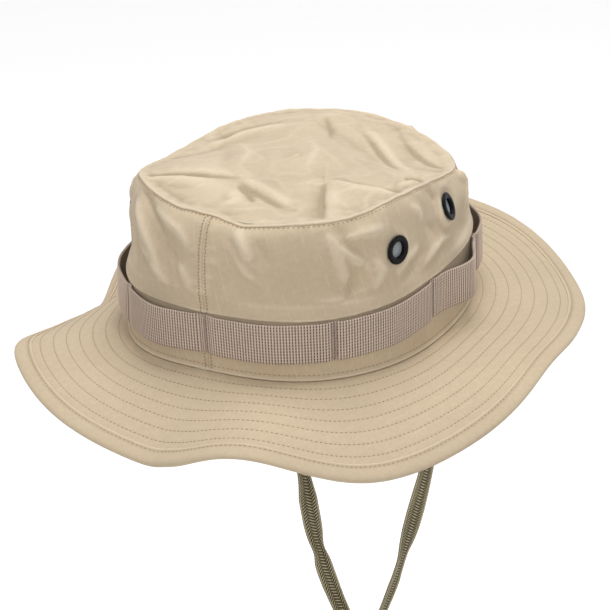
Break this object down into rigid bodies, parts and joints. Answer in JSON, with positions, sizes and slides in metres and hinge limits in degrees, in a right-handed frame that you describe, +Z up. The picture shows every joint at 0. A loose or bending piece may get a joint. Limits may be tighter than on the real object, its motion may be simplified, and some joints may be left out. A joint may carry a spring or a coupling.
{
  "type": "boonie hat",
  "caption": "Soft sun hat with a round crown, a wavy quilted brim, foliage loops, screened vents and a hanging chin cord.",
  "frame": {"origin": "middle of the head opening, at the level of the seam between crown and brim", "axes": "+Z up through the crown, +Y towards the wearer's front, +X towards the wearer's right"},
  "size_m": [0.2933, 0.3204, 0.4608],
  "materials": {
    "ripstop_cloth": "plain-woven ripstop cotton blend, matt, stone khaki",
    "seam_tape": "narrow woven cotton tape, matt",
    "sweatband_cotton": "folded cotton twill, matt",
    "interlining_felt": "non-woven stiffener, hidden between the brim's cloths",
    "taupe_webbing": "ribbed grosgrain webbing, matt",
    "thread": "polyester sewing thread",
    "blackened_metal": "black lacquered brass, satin",
    "vent_mesh": "fine woven wire mesh, dull grey",
    "olive_lace": "flat braided lace, matt olive drab",
    "keeper_leather": "moulded leather, satin brown"
  },
  "bodies": {
    "hat": {"crown_top_panel": "ripstop_cloth", "crown_side_right": "ripstop_cloth", "crown_side_left": "ripstop_cloth", "crown_seam_tape": "seam_tape", "sweatband": "sweatband_cotton", "brim_upper": "ripstop_cloth", "brim_interlining": "interlining_felt", "brim_lower": "ripstop_cloth", "brim_binding": "ripstop_cloth", "foliage_webbing": "taupe_webbing", "webbing_bartacks": "thread", "vent_eyelet_right_rear": "blackened_metal", "vent_washer_right_rear": "blackened_metal", "vent_screen_right_rear": "vent_mesh", "vent_eyelet_right_front": "blackened_metal", "vent_washer_right_front": "blackened_metal", "vent_screen_right_front": "vent_mesh", "vent_eyelet_left_front": "blackened_metal", "vent_washer_left_front": "blackened_metal", "vent_screen_left_front": "vent_mesh", "vent_eyelet_left_rear": "blackened_metal", "vent_washer_left_rear": "blackened_metal", "vent_screen_left_rear": "vent_mesh", "cord_tab_left": "seam_tape", "cord_tab_right": "seam_tape"},
    "chin_cord": {"chin_cord": "olive_lace"},
    "keeper": {"keeper": "keeper_leather"}
  },
  "joints": [
    {"name": "chin_cord_swing", "type": "hinge", "parent": "hat", "child": "chin_cord", "pos_m": [0, 0.03, -0.01], "axis": [1, 0, 0], "range_deg": [-40, 40]},
    {"name": "keeper_slide", "type": "slide", "parent": "chin_cord", "child": "keeper", "axis": [0, 0, -1], "range_m": [0, 0.029]}
  ]
}
